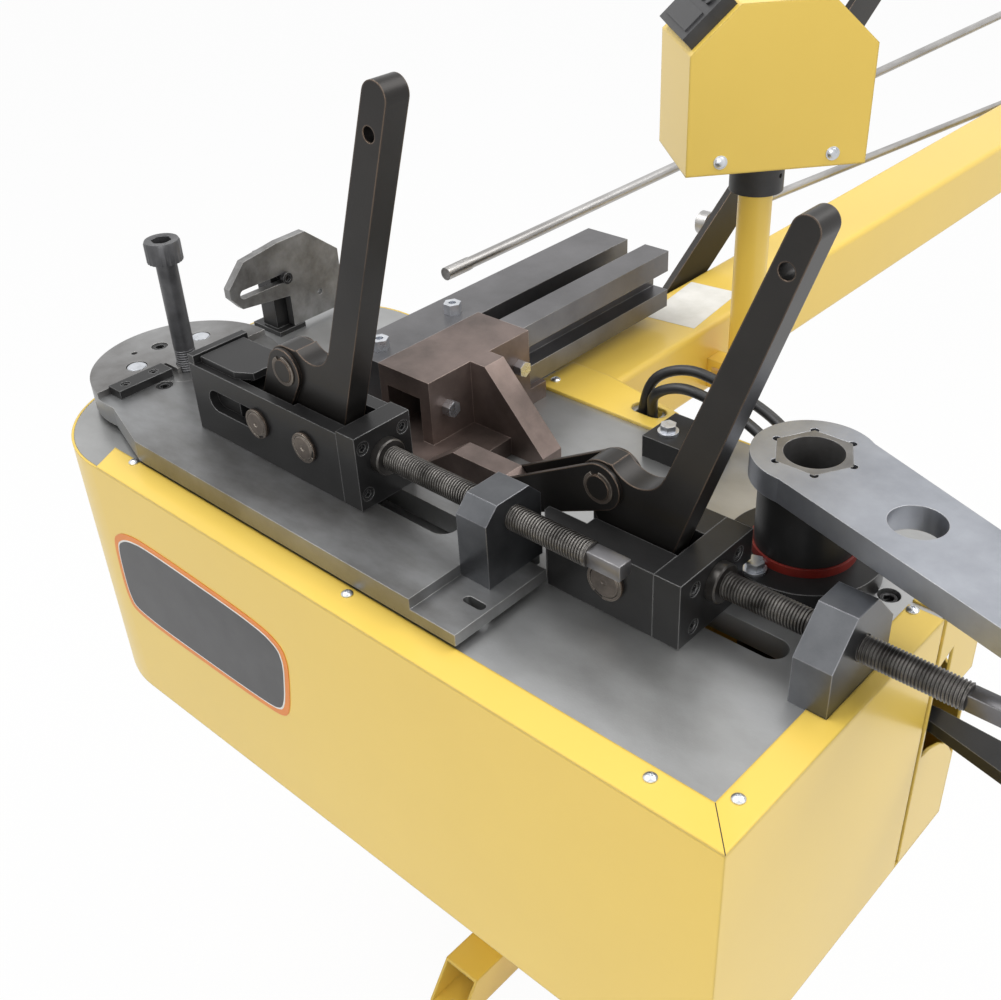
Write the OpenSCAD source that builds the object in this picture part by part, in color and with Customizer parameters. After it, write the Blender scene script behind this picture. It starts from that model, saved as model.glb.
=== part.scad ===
// Mandrel tube bender on a cabinet stand, with clamp, pressure and mandrel units.
// Built from the bend axis: X runs along the bed, Y to the back, Z up from the bed top.

/* [Cabinet and bed] */
// Height of the bed top above the floor
bed_h = 930; // [880:1:1000]
// Front face of the cabinet from the bend axis
cab_front = 181; // [178:0.5:186]
// Left face of the cabinet from the bend axis
cab_left = 97; // [95:0.5:100]
// Radius of the round left corners of the cabinet
corner_r = 150; // [140:1:155]
// Right face of the cabinet from the bend axis
cab_right = 920; // [916:0.5:940]
// Back face of the cabinet from the bend axis
cab_back = 321; // [318:0.5:330]
// Depth of the cabinet below the bed top
cab_depth = 341; // [330:1:380]
// Thickness of the cabinet sheet
sheet = 3; // [2:0.5:4]
// Thickness of the bed plate
bed_t = 25; // [22:1:28]
// Thickness of the lips on the bed
lip_t = 2; // [1:0.5:3]
// Width of the front lip
lip_w = 38; // [34:1:42]
// Place of the split in the right side
split_y = 169; // [167:0.5:171]
// Width of the split in the right side
split_gap = 8; // [6:0.5:9]
// Cut at the rear right corner
back_cut = 48; // [44:1:52]

/* [Stand] */
// Outer size of the floor tubes
foot_s = 63.5; // [55:0.5:75]
// Wall of the floor tubes
foot_wall = 4; // [3:0.5:6]
// Length of the foot tube along the machine's depth
foot_len = 480; // [420:5:560]
// Length of each cross foot
cross_len = 268; // [220:1:320]
// Side of the pedestal column
column_s = 150; // [120:1:180]
// Radius of the anchor holes
anchor_r = 8; // [6:0.5:10]

/* [Beam] */
// Left face of the beam
beam_x = 300; // [295:0.5:305]
// Width of the beam
beam_w = 110; // [100:1:120]
// Height of the beam
beam_h = 100; // [90:1:110]
// Wall of the beam
beam_wall = 6; // [4:0.5:8]
// Corner radius of the beam
beam_r = 8; // [7:0.5:12]
// Rear end of the beam from the bend axis
beam_end = 2750; // [2700:5:2850]
// Thickness of the foot plate of the beam
plate_t = 4; // [3:0.5:6]

/* [Bend head] */
// Radius of the swing arm head and the die plate
arm_head_r = 118; // [112:0.5:122]
// Gap between the bed and the swing arm
arm_lift = 7; // [5:0.5:9]
// Thickness of the swing arm
arm_t = 25; // [22:0.5:28]
// End of the swing arm from the bend axis
arm_end = 607; // [600:0.5:615]
// Distance of the front edge of the swing arm
arm_front = 145; // [140:0.5:150]
// Radius of the head spindle
spindle_r = 36; // [32:0.5:37]
// Thickness of the die plate
die_t = 8; // [6:0.5:10]
// Radius of the draw bolt
bolt_r = 12.7; // [10:0.1:14]
// Radius of the head of the draw bolt
bolt_head_r = 21.5; // [19:0.5:24]
// Top of the draw bolt head above the bed
bolt_top = 201; // [190:1:215]
// Radius of the dowel pins
dowel_r = 12; // [10:0.5:13]

/* [Lead screws] */
// Radius of both lead screws
screw_r = 12.7; // [11:0.1:14]
// Side of the square drives
drive_s = 17; // [15:0.5:18]
// Length of the square drives
drive_len = 38; // [30:1:45]

/* [Clamp unit] */
// Centre line of the clamp unit
clamp_y = -39.5; // [-41:0.1:-38]
// Width of the clamp unit
clamp_w = 75; // [72:0.5:77]
// Height of the clamp unit
clamp_h = 83; // [80:0.5:88]
// Width of the lever channel in both units
channel_w = 42; // [40:0.5:44]
// Width of the jaw channel of the clamp unit
jaw_w = 53; // [50:0.5:56]
// Thickness of both levers
lever_t = 27; // [25:0.5:28]
// Height of the clamp lever pivot above the arm
clamp_pz = 48; // [46:0.5:50]
// Height of the clamp screw above the arm
clamp_sz = 51; // [49:0.5:53]
// Radius of the lever pins
pin_r = 10; // [8:0.5:11]
// Radius of the pins between the levers and the links
link_pin_r = 13; // [11:0.5:15]
// Radius of the links about those pins
link_r = 24; // [22:0.5:25]
// Thickness of the end plate of the clamp unit
clamp_end_t = 27; // [24:0.5:29]
// Thickness of the nut block of the clamp screw
nut1_t = 38; // [34:0.5:42]

/* [Pressure unit] */
// Centre line of the pressure unit
press_y = 40; // [39:0.1:41]
// Width of the pressure unit
press_w = 113; // [108:0.5:115]
// Width of its link channel
press_wide = 66; // [62:0.5:70]
// Height of the pressure unit
press_h = 72; // [68:0.5:76]
// Thickness of its end plate
press_end_t = 29; // [25:0.5:30]
// Height of its screw above the bed
press_sz = 46; // [44:0.5:47]
// Height of its lever pivot above the bed
press_pz = 40; // [38:0.5:42]
// Thickness of the nut block of the pressure screw
nut2_t = 37; // [34:0.5:40]
// Height of the top of the T-slot block
block_top = 100; // [96:0.5:104]
// Thickness of the bracket base
base_t = 22; // [18:0.5:24]

/* [Auxiliary hub] */
// Place of the hub along the bed
hub_x = 778; // [775:0.5:781]
// Place of the hub across the bed
hub_y = 160; // [158:0.5:164]
// Radius of the hub flange
hub_flange_r = 76; // [74:0.5:80]
// Radius of the hub sleeve
hub_sleeve_r = 48; // [46:0.5:50]
// Radius of the bore in the hub spindle
hub_bore_r = 28; // [24:0.5:29]
// Width across flats of the hub spindle
hub_af = 68; // [66:0.5:70]
// Length of the hub arms from the spindle to the tip
hub_arm_len = 330; // [310:1:350]
// Radius of the holes in the upper arm
arm_hole_r = 25; // [20:0.5:27]

/* [Mandrel] */
// Place of the mandrel rod along the bed
rod_x = 125; // [120:0.5:130]
// Height of the mandrel rod above the bed
rod_z = 72; // [70:0.5:76]
// Radius of the mandrel rod
rod_r = 8; // [6:0.5:9]
// Front end of the mandrel rod
rod_tip = 335; // [325:1:345]
// Length of the hand lever from its pivot
hand_len = 750; // [700:5:800]
// Width of the hand lever
hand_w = 58; // [52:1:62]

/* [Control box] */
// Radius of the post
post_r = 21; // [19:0.5:23]
// Width of the control box
box_w = 212; // [200:1:224]
// Radius of the cables
cable_r = 6.3; // [5.8:0.1:6.4]
// Depth of the control box
box_d = 139; // [130:1:148]
// Height of the straight part of the control box
box_h = 135; // [125:1:145]

/* [Hidden] */
// Clearance between pieces that move on each other
gap = 0.3;
// Clearance of pins and bolts in their holes
fit = 0.1;
// Small overlap for cuts
cut = 1;
bar_fn = 64;
// Heights
arm_top = arm_lift + arm_t;
die_top = arm_top + die_t;
bed_low = -bed_t;
base_top = sheet - cab_depth;
floor_z = -bed_h;
foot_top = floor_z + foot_s;
// Places
lip_x = cab_right - 35;
lip_screw_at = [[93, -148], [468, -153], [832, -155], [cab_right - 23, -129], [cab_right - 28, 163]];
panel_screw_at = [cab_right - 28, 201];
plate_screw_at = [350, 295];
bed_screw_at = [864, 172];
stop_at = [555, 247];
stop_t = 27;
ped_x = 375;
ped_y = 190;
pins_at = [[-42, -46], [-48, 54]];
arm_screw_at = [15, -46];
die_screw_at = [-66, 4];
small_hole_at = [-75, -28];
head_bore_r = 10.5;
key_right = 4.5;
key_w = 24;
key_h = 11;
key_len = 75;
key_y = -100;
key_end = -18;
key_screw_at = [-84, -44];
// Rotary actuator under the bend head
actuator_r = 88;
chamber_r = 70;
slot_w = 34;
slot_from = 200;
slot_to = 507;
// Clamp unit
clamp_x = 136;
clamp_step = 306;
clamp_back = 384;
clamp_far = clamp_back + clamp_end_t;
clamp_floor = arm_top + 12;
clamp_top = arm_top + clamp_h;
clamp_p = [331, arm_top + clamp_pz];
clamp_q = clamp_p + [-44.5, 65.5];
clamp_s = [253, clamp_p[1]];
end_proud = 3;
jaw_travel = 75;
window_h = 26;
// Round heads of the pivot and slide pins outside the walls
disc_r = 17;
disc_t = 3;
clamp_axis_z = arm_top + clamp_sz;
nut1_x = 549;
nut1_z = 20;
nut1_top = 107;
screw1_end = 680;
// Room for the snap rings beside the links
ring_space = 2.2;
link_t = (channel_w - lever_t) / 2 - 2 * gap - ring_space;
// Radius of the slide pins at the other end of the links
slide_pin_r = 8;
// Round ear of the levers and the boss about their pivot
ear_r = 26;
boss_r = 24;
// Wiper die holder
wiper_x = -40;
wiper_t = 12;
wiper_bolt = [186, 80];
wiper_bolt_r = 5;
// Pressure unit
press_x = 590;
press_step = 636;
press_back = 730;
press_far = press_back + press_end_t;
press_floor = 8;
press_p = [678, press_pz];
press_q = press_p + [-40, 65.6];
press_s = [508, press_pz];
press_disc_r = 20;
corner_cut = 17;
nut2_x = 867;
nut2_w = 101;
nut2_top = 88;
screw2_end = 997;
tongue_w = 30;
block_x = 221;
block_y = 71;
block_end = 518;
bar_w = 62;
rail_x = 322;
rail_w = 33;
top_end = 234;
side_groove_z = [46, 64];
// Hub
hub_dir = -19.4;
sleeve_top = 104.7;
arm_low = sleeve_top + gap;
hub_arm_t = 25;
tip_r = 44;
low_z = -152;
low_t = 14;
low_elbow = [140, 38];
low_w = 22;
low_tip = [280, 16];
low_tip_r = 30;
barrel_r = 55;
barrel_low = -125;
hub_bolt_r = 63;
hub_bolt_at = [75, 255];
shaft_r = 35;
// Oil tank and the pump motor on its lid
tank_a = [330, -110];
tank_b = [620, 120];
tank_wall = 4;
lid_z = -212;
lid_t = 8;
motor_y = 10;
motor_z = -130;
motor_r = 62;
// Arm slot in the back of the cabinet
slot_z0 = -164;
slot_h = 38;
slot_back_x = 640;
panel_strip = 4;
// Beam, post and control box
beam_mid = beam_x + beam_w / 2;
foot_plate_y = 275;
foot_plate_end = 345;
cable_hole = [485, 306];
cable_exit = [690, 290];
cable_hole_r = 16;
post_at = [457, 553];
collar_r = 33;
collar_z = 195;
collar_top = 240;
box_turn = 48.9;
box_roof = 43;
box_top = collar_top + gap;
box_cut = 75;
// Mandrel drive
hand_p = [580, -45];
hand_pin = [741, 46];
hand_tilt = 33.6;
hand_t = 10;
carriage_y = 2480;
carriage_len = 100;
link_end = [2500, -88];
link_x = 254;
link_w = 16;
// Middle of the overall box
tip_mid = hub_arm_len - tip_r;
x_max = hub_x + max(tip_mid * cos(hub_dir) + tip_r, low_tip[0] + low_tip_r);
mid_x = (x_max - arm_head_r) / 2;
mid_y = (beam_end - cab_front) / 2;
// Colours
yellow = [0.86, 0.66, 0.16];
black = [0.17, 0.16, 0.15];
steel = [0.33, 0.33, 0.3];
zinc = [0.75, 0.76, 0.78];
brown = [0.3, 0.24, 0.2];

// Moves a piece from the bend axis to the middle of the floor
module placed() {
  translate([-mid_x, -mid_y, bed_h]) children();
}

// Outline of the cabinet, drawn in by d
module cab_area(d) {
  x0 = corner_r - cab_left;
  y0 = corner_r - cab_front;
  y1 = cab_back - corner_r;
  for (y = [y0, y1]) translate([x0, y]) circle(r = corner_r - d, $fn = bar_fn);
  translate([d - cab_left, y0]) square([cab_right + cab_left - 2 * d, y1 - y0]);
  k = d * tan(22.5);
  polygon([[x0, d - cab_front], [cab_right - d, d - cab_front], [cab_right - d, cab_back - back_cut - k],
    [cab_right - back_cut - k, cab_back - d], [x0, cab_back - d]]);
}

// Plate drawn in X and Z, t thick about the plane y
module side(y, t) {
  translate([0, y, 0]) rotate([90, 0, 0]) linear_extrude(t, center = true) children();
}

// Plate drawn in Y and Z, from x on over t
module cross(x, t) {
  translate([x, 0, 0]) rotate([90, 0, 90]) linear_extrude(t) children();
}

// Flat bar between two points with a round end of its own at each
module bar(p, q, rp, rq) {
  d = (q - p) / norm(q - p);
  n = [-d[1], d[0]];
  translate(p) circle(r = rp, $fn = bar_fn);
  translate(q) circle(r = rq, $fn = bar_fn);
  polygon([p + rp * n, q + rq * n, q - rq * n, p - rp * n]);
}

// Round bar along X
module bar_x(x, y, z, r, len) {
  translate([x, y, z]) rotate([0, 90, 0]) cylinder(r = r, h = len, $fn = bar_fn);
}

// Round bar along Y
module bar_y(x, y, z, r, len) {
  translate([x, y, z]) rotate([-90, 0, 0]) cylinder(r = r, h = len, $fn = bar_fn);
}

// Upright round bar
module bar_z(x, y, z, r, len) {
  translate([x, y, z]) cylinder(r = r, h = len, $fn = bar_fn);
}

// Box between two corners
module block(a, b) {
  translate(a) cube(b - a);
}

// Hexagon with the given width across flats
module hex(af) {
  circle(r = af / 2 / cos(30), $fn = 6);
}

// Socket screw with its head down from z
module cap_screw(r, head_r, head_h, len) {
  difference() {
    union() {
      translate([0, 0, -head_h]) cylinder(r = head_r, h = head_h, $fn = bar_fn);
      translate([0, 0, -head_h - len]) cylinder(r = r, h = len + cut, $fn = bar_fn);
    }
    translate([0, 0, -head_h * 0.6]) linear_extrude(head_h) hex(head_r * 1.1);
  }
}

// Rounded rectangle with its lower left corner at the origin
module round_rect(w, h, r) {
  translate([r, 0]) square([w - 2 * r, h]);
  translate([0, r]) square([w, h - 2 * r]);
  for (x = [r, w - r], y = [r, h - r]) translate([x, y]) circle(r = r, $fn = bar_fn);
}

// Slot with round ends along the first axis
module slot2(a, b, y, w) {
  translate([a + w / 2, y - w / 2]) square([b - a - w, w]);
  translate([a + w / 2, y]) circle(r = w / 2, $fn = bar_fn);
  translate([b - w / 2, y]) circle(r = w / 2, $fn = bar_fn);
}

module cabinet_shell() {
  color(yellow) placed() {
    difference() {
      translate([0, 0, -cab_depth]) linear_extrude(cab_depth) cab_area(0);
      translate([0, 0, base_top]) linear_extrude(cab_depth) cab_area(sheet);
      block([cab_right - sheet - cut, split_y, base_top], [cab_right + cut, cab_back - back_cut - 3, cut]);
      // Way of the lower arm round the rear corner
      block([slot_back_x, cab_back - sheet - cut, slot_z0],
        [cab_right + cut, cab_back + cut, slot_z0 + slot_h]);
      block([cab_right - back_cut - 6, cab_back - back_cut - 3, slot_z0],
        [cab_right + cut, cab_back, slot_z0 + slot_h]);
    }
    // Ledge that carries the bed plate, open for the cables and the actuator
    translate([0, 0, bed_low - 6]) linear_extrude(6) difference() {
      cab_area(sheet);
      cab_area(sheet + 22);
      for (p = [cable_hole, cable_exit]) translate([p[0] - 25, p[1] - 40]) square([50, 100]);
      circle(r = actuator_r + cut, $fn = bar_fn);
    }
  }
}

module rear_panel() {
  y0 = split_y + split_gap;
  y1 = cab_back - back_cut - 3;
  color(yellow) placed() difference() {
    union() {
      block([cab_right - sheet, y0, base_top], [cab_right, y1, lip_t]);
      block([lip_x, y0, 0], [cab_right, y1, lip_t]);
    }
    // Opening for the lower arm, with a notch beside the split
    cross(cab_right - sheet - cut, sheet + 2 * cut)
      polygon([[y0 + panel_strip, -64], [y0 + 31, -56], [y0 + 33, slot_z0 + slot_h],
        [y1 + cut, slot_z0 + slot_h], [y1 + cut, -248], [y0 + 74, -219], [y0 + 50, -200],
        [y0 + 23, -187], [y0 + panel_strip, -184]]);
    bar_z(panel_screw_at[0], panel_screw_at[1], -cut, 3 + fit, lip_t + 2 * cut);
  }
}

module bed_plate() {
  color(steel) placed() difference() {
    translate([0, 0, bed_low]) linear_extrude(bed_t) cab_area(sheet + gap);
    bar_z(0, 0, bed_low - cut, spindle_r + gap, bed_t + 2 * cut);
    bar_z(hub_x, hub_y, bed_low - cut, barrel_r + fit, bed_t + 2 * cut);
    translate([0, 0, bed_low - cut]) linear_extrude(bed_t + 2 * cut) slot2(612, 836, press_y, tongue_w);
    for (p = concat(lip_screw_at, [panel_screw_at, plate_screw_at]))
      bar_z(p[0], p[1], -12, 3 + fit, 12 + cut);
    for (a = hub_bolt_at) translate([hub_x, hub_y, 0]) rotate(a)
      bar_z(hub_bolt_r, 0, -20, 5 + fit, 20 + cut);
    bar_z(stop_at[0], stop_at[1], -20, 5 + fit, 20 + cut);
    for (p = [cable_hole, cable_exit]) bar_z(p[0], p[1], bed_low - cut, cable_hole_r, bed_t + 2 * cut);
    // Counterbore of the bed screw beside the hub
    bar_z(bed_screw_at[0], bed_screw_at[1], -13, 11, 13 + cut);
  }
}

module bed_lips() {
  color(yellow) placed() difference() {
    linear_extrude(lip_t) polygon([[66, -cab_front], [46, lip_w - cab_front], [lip_x, lip_w - cab_front],
      [lip_x, split_y], [cab_right, split_y], [cab_right, -cab_front]]);
    block([lip_x - cut, press_y - nut2_w / 2 - gap, -cut],
      [nut2_x + nut2_t + gap, press_y + nut2_w / 2 + gap, lip_t + cut]);
    for (p = lip_screw_at) bar_z(p[0], p[1], -cut, 3 + fit, lip_t + 2 * cut);
  }
}

// Pan head screw standing on z
module pan_screw(p, z) {
  translate([p[0], p[1], z]) {
    difference() {
      intersection() {
        cylinder(r = 6, h = 4, $fn = bar_fn);
        translate([0, 0, -4]) sphere(r = 8, $fn = bar_fn);
      }
      translate([0, 0, 2.5]) linear_extrude(3) square([5, 1.2], center = true);
      translate([0, 0, 2.5]) linear_extrude(3) square([1.2, 5], center = true);
    }
    translate([0, 0, -z - 10]) cylinder(r = 3, h = z + 10.5, $fn = bar_fn);
  }
}

module pan_screws() {
  color(zinc) placed() {
    for (p = lip_screw_at) pan_screw(p, lip_t);
    pan_screw(panel_screw_at, lip_t);
    pan_screw(plate_screw_at, plate_t);
  }
}

module pedestal() {
  color(yellow) placed() {
    difference() {
      block([ped_x - column_s / 2, ped_y - column_s / 2, foot_top + 12],
        [ped_x + column_s / 2, ped_y + column_s / 2, -cab_depth - 11]);
      block([ped_x - column_s / 2 + 6, ped_y - column_s / 2 + 6, foot_top],
        [ped_x + column_s / 2 - 6, ped_y + column_s / 2 - 6, -cab_depth]);
    }
    block([ped_x - 160, ped_y - 110, -cab_depth - 12], [ped_x + 160, ped_y + 110, -cab_depth]);
    difference() {
      block([ped_x - 160, ped_y - 110, foot_top], [ped_x + 160, ped_y + 110, foot_top + 13]);
      block([ped_x - 60, ped_y - 60, foot_top - cut], [ped_x + 60, ped_y + 60, foot_top + 14]);
    }
  }
}

module floor_feet() {
  side_x = foot_s / 2;
  color(yellow) placed() {
    difference() {
      block([ped_x - side_x, -20, floor_z], [ped_x + side_x, foot_len, foot_top]);
      block([ped_x - side_x + foot_wall, -30, floor_z + foot_wall],
        [ped_x + side_x - foot_wall, foot_len + cut, foot_top - foot_wall]);
      cross(ped_x - 100, 200) polygon([[-40, floor_z + foot_wall], [-20, floor_z + foot_wall],
        [22, foot_top + cut], [-40, foot_top + cut]]);
      bar_z(ped_x, -5, floor_z - cut, anchor_r, foot_wall + 2 * cut);
      bar_z(ped_x, foot_len - 25, floor_z - cut, anchor_r, foot_s + 2 * cut);
    }
    for (s = [-1, 1]) difference() {
      translate([ped_x + s * (side_x + cross_len / 2), ped_y, floor_z + foot_s / 2])
        cube([cross_len, foot_s, foot_s], center = true);
      translate([ped_x + s * (side_x + cross_len / 2), ped_y, floor_z + foot_s / 2])
        cube([cross_len + 2 * cut, foot_s - 2 * foot_wall, foot_s - 2 * foot_wall], center = true);
      bar_z(ped_x + s * (side_x + cross_len - 25), ped_y, floor_z - cut, anchor_r, foot_s + 2 * cut);
    }
  }
}

module beam() {
  len = beam_end - cab_back;
  color(yellow) placed() difference() {
    translate([beam_x, beam_end, -beam_h]) rotate([90, 0, 0]) linear_extrude(len)
      round_rect(beam_w, beam_h, beam_r);
    translate([beam_x + beam_wall, beam_end + cut, beam_wall - beam_h]) rotate([90, 0, 0])
      linear_extrude(len + 2 * cut)
      round_rect(beam_w - 2 * beam_wall, beam_h - 2 * beam_wall, max(beam_r - beam_wall, 1));
    bar_x(beam_x - cut, hand_p[0], hand_p[1], 12 + gap, beam_wall + 2 * cut);
  }
}

module beam_foot_plate() {
  color(yellow) placed() difference() {
    linear_extrude(plate_t) polygon([[335, foot_plate_y], [517, foot_plate_y], [517, cab_back],
      [beam_x + beam_w - 14, foot_plate_end], [335, foot_plate_end]]);
    translate([0, 0, -cut]) linear_extrude(plate_t + 2 * cut) slot2(462, 508, cable_hole[1], 24);
    bar_z(plate_screw_at[0], plate_screw_at[1], -cut, 3 + fit, plate_t + 2 * cut);
  }
}

module rear_leg() {
  y = beam_end - 80;
  color(yellow) placed() {
    difference() {
      block([beam_mid - 40, y - 40, foot_top - 6], [beam_mid + 40, y + 40, -beam_h]);
      block([beam_mid - 36, y - 36, foot_top + 1], [beam_mid + 36, y + 36, -beam_h - 6]);
      bar_x(beam_mid, y, foot_top + 60, 10, 60);
    }
    difference() {
      block([beam_mid - 230, y - foot_s / 2, floor_z], [beam_mid + 230, y + foot_s / 2, foot_top]);
      block([beam_mid - 231, y - foot_s / 2 + foot_wall, floor_z + foot_wall],
        [beam_mid + 231, y + foot_s / 2 - foot_wall, foot_top - foot_wall]);
      for (s = [-1, 1]) bar_z(beam_mid + s * 205, y, floor_z - cut, anchor_r, foot_s + 2 * cut);
    }
  }
}

module post() {
  color(yellow) placed() {
    bar_z(post_at[0], post_at[1], -90, post_r, 90 + collar_top - 10);
    difference() {
      block([beam_x + beam_w, post_at[1] - 15, -90], [post_at[0], post_at[1] + 15, -48]);
      block([beam_x + beam_w + 8, post_at[1] - 16, -80], [post_at[0] - 8, post_at[1] + 16, -58]);
    }
  }
}

module post_collar() {
  color(black) placed() difference() {
    bar_z(post_at[0], post_at[1], collar_z, collar_r, collar_top - collar_z);
    bar_z(post_at[0], post_at[1], collar_z - cut, post_r + fit, collar_top - collar_z + 2 * cut);
    bar_x(post_at[0], post_at[1], collar_z + 22, 3, collar_r + cut);
  }
}

module stop_block() {
  color(black) placed() difference() {
    block([stop_at[0] - 19, stop_at[1] - 22, 0], [stop_at[0] + 56, stop_at[1] + 40, stop_t]);
    bar_z(stop_at[0], stop_at[1], -cut, 5 + fit, stop_t + 2 * cut);
  }
}

// Hex flange bolt standing on z, reaching down to the depth low
module flange_bolt(x, y, z, low) {
  bar_z(x, y, z, 12, 3);
  translate([x, y, z + 2]) linear_extrude(9) hex(16.5);
  bar_z(x, y, low, 5, z - low + 1);
}

module hex_bolts() {
  color(zinc) placed() {
    for (a = hub_bolt_at) translate([hub_x, hub_y, 0]) rotate(a) flange_bolt(hub_bolt_r, 0, 24, -18);
    flange_bolt(stop_at[0], stop_at[1], stop_t, -18);
  }
}

module hub_flange() {
  color(black) placed() translate([hub_x, hub_y, 0]) difference() {
    union() {
      bar_z(0, 0, 0, hub_flange_r, 24);
      bar_z(0, 0, 20, hub_sleeve_r, sleeve_top - 20);
      bar_z(0, 0, barrel_low, barrel_r, 10 - barrel_low);
    }
    bar_z(0, 0, barrel_low - cut, shaft_r + gap, sleeve_top - barrel_low + 2 * cut);
    for (a = hub_bolt_at) rotate(a) bar_z(hub_bolt_r, 0, -cut, 5 + fit, 24 + 2 * cut);
  }
}

module seal_ring() {
  color([0.55, 0.08, 0.05]) placed() translate([hub_x, hub_y, 24]) difference() {
    bar_z(0, 0, 0, hub_sleeve_r + 2.5, 9);
    bar_z(0, 0, -cut, hub_sleeve_r + fit, 12);
  }
}

module nut_block_press() {
  h = nut2_w / 2;
  color(black) placed() difference() {
    cross(nut2_x, nut2_t) polygon([[press_y - h, 0], [press_y + h, 0], [press_y + h, 50],
      [press_y + h - 34, nut2_top], [press_y - h + 34, nut2_top], [press_y - h, 50]]);
    bar_x(nut2_x - cut, press_y, press_sz, screw_r + gap, nut2_t + 2 * cut);
  }
}

module wiper_foot() {
  color(black) placed() difference() {
    union() {
      block([wiper_x - 46, wiper_bolt[0] - 22, 0], [wiper_x + wiper_t, wiper_bolt[0] + 22, 7]);
      block([wiper_x - 30, wiper_bolt[0] - 16, 0], [wiper_x - gap, wiper_bolt[0] + 16, 112]);
    }
    bar_x(wiper_x - 31, wiper_bolt[0], wiper_bolt[1], wiper_bolt_r + fit, 32);
    bar_z(wiper_x - 38, wiper_bolt[0], -cut, 5, 20);
  }
}

module thrust_ring() {
  color(steel) placed() difference() {
    bar_z(0, 0, 0, 90, arm_lift - gap);
    bar_z(0, 0, -cut, spindle_r + gap, arm_lift + 2 * cut);
  }
}

module actuator() {
  color(black) placed() difference() {
    bar_z(0, 0, -150, actuator_r, 150 + bed_low);
    difference() {
      bar_z(0, 0, -151, chamber_r, 111);
      // Fixed shoe between the two oil ports
      translate([0, 0, -152]) linear_extrude(120)
        polygon([[-14, 0], [14, 0], [24, -actuator_r], [-24, -actuator_r]]);
    }
    bar_z(0, 0, -152, spindle_r + gap, 160);
    for (x = [-actuator_r - cut, chamber_r - 5]) bar_x(x, 0, -95, 7, actuator_r - chamber_r + 6);
  }
}

module actuator_cover() {
  color(black) placed() difference() {
    bar_z(0, 0, -162, actuator_r, 12);
    bar_z(0, 0, -163, 25, 14);
  }
}

module oil_tank() {
  in_a = tank_a + [tank_wall, tank_wall];
  in_b = tank_b - [tank_wall, tank_wall];
  color(black) placed() difference() {
    block([tank_a[0], tank_a[1], base_top], [tank_b[0], tank_b[1], lid_z]);
    block([in_a[0], in_a[1], base_top + tank_wall], [in_b[0], in_b[1], lid_z + cut]);
  }
}

module pump_motor() {
  color(steel) placed() {
    block([tank_a[0], tank_a[1], lid_z], [tank_b[0], tank_b[1], lid_z + lid_t]);
    bar_x(tank_a[0] + 50, motor_y, motor_z, motor_r, 200);
    bar_x(tank_a[0] + 30, motor_y, motor_z, motor_r - 14, 30);
    bar_x(tank_b[0] - 45, motor_y, motor_z, motor_r / 2, 40);
    // Foot of the motor and the pickup in the tank
    block([tank_a[0] + 70, motor_y - 60, lid_z + lid_t - cut], [tank_b[0] - 60, motor_y + 60, motor_z - 20]);
    block([tank_a[0] + 110, motor_y - 30, base_top + 10], [tank_a[0] + 150, motor_y + 30, lid_z + cut]);
  }
}

// Point of a smooth curve through four route points
function curve(a, b, c, d, t) = 0.5 * (2 * b + (c - a) * t + (2 * a - 5 * b + 4 * c - d) * t * t
  + (3 * b - a - 3 * c + d) * t * t * t);
// Smooth route with n steps between the points
function route(p, n) = [for (i = [0 : len(p) - 2], j = [0 : n - 1])
  curve(p[max(i - 1, 0)], p[i], p[i + 1], p[min(i + 2, len(p) - 1)], j / n), p[len(p) - 1]];
function unit(v) = v / norm(v);
function along(p, i) = unit(p[min(i + 1, len(p) - 1)] - p[max(i - 1, 0)]);

// Round tube of radius r along the points p
module tube(p, r, k) {
  n = len(p);
  pts = [for (i = [0 : n - 1]) let (t = along(p, i), u = unit(cross(t, [0.2, 1, 0.1])), v = cross(t, u))
    for (a = [0 : k - 1]) p[i] + r * (cos(360 * a / k) * u + sin(360 * a / k) * v)];
  walls = [for (i = [0 : n - 2], a = [0 : k - 1]) let (b = (a + 1) % k)
    [i * k + a, i * k + b, i * k + k + b, i * k + k + a]];
  ends = [[for (a = [0 : k - 1]) k - 1 - a], [for (a = [0 : k - 1]) (n - 1) * k + a]];
  polyhedron(pts, concat(walls, ends));
}

// Routes of the two cables, from inside the cabinet over the bed and down again
cable_a_at = [[476.6, 306, -60], [476.6, 306, 0], [488, 314, 44], [530, 326, 62], [590, 334, 48], [640, 330, 34],
  [674, 312, 24], [684, 296, 0], [684, 296, -60]];
cable_b_at = [[493.2, 301.9, -60], [493.2, 301.9, 0], [500, 298, 34], [536, 304, 50], [590, 312, 38], [640, 302, 28],
  [684, 286, 14], [695.2, 284.8, -6], [695.2, 284.8, -60]];

module cable_a() {
  color(black) placed() tube(route(cable_a_at, 6), cable_r, 12);
}

module cable_b() {
  color(black) placed() tube(route(cable_b_at, 6), cable_r, 12);
}

module box_face(d) {
  w = box_w / 2 - d;
  rise = box_cut * sin(box_roof);
  run = box_cut * cos(box_roof);
  polygon([[-w, box_top + d], [w, box_top + d], [w, box_top + box_h - d * 0.4], [w - run, box_top + box_h + rise - d],
    [run - w, box_top + box_h + rise - d], [-w, box_top + box_h - d * 0.4]]);
}

module control_box() {
  color(yellow) placed() translate([post_at[0], post_at[1], 0]) rotate(box_turn) {
    difference() {
      side(0, box_d) box_face(0);
      side(0, box_d - 5) box_face(2.5);
      bar_z(-60, 40, box_top - cut, 9, 10);
    }
    bar_z(0, 0, collar_top - 9, post_r - gap, 10 + gap);
  }
}

module keypad() {
  color(black) placed() translate([post_at[0], post_at[1], 0]) rotate(box_turn)
    translate([-box_w / 2, 0, box_top + box_h]) rotate([0, -box_roof, 0]) {
      block([6, -58, 0], [72, 58, 16]);
      block([14, -48, 15], [40, 48, 18]);
      for (i = [0 : 3]) bar_z(56, 24 * i - 36, 15, 7, 4);
    }
}

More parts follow.
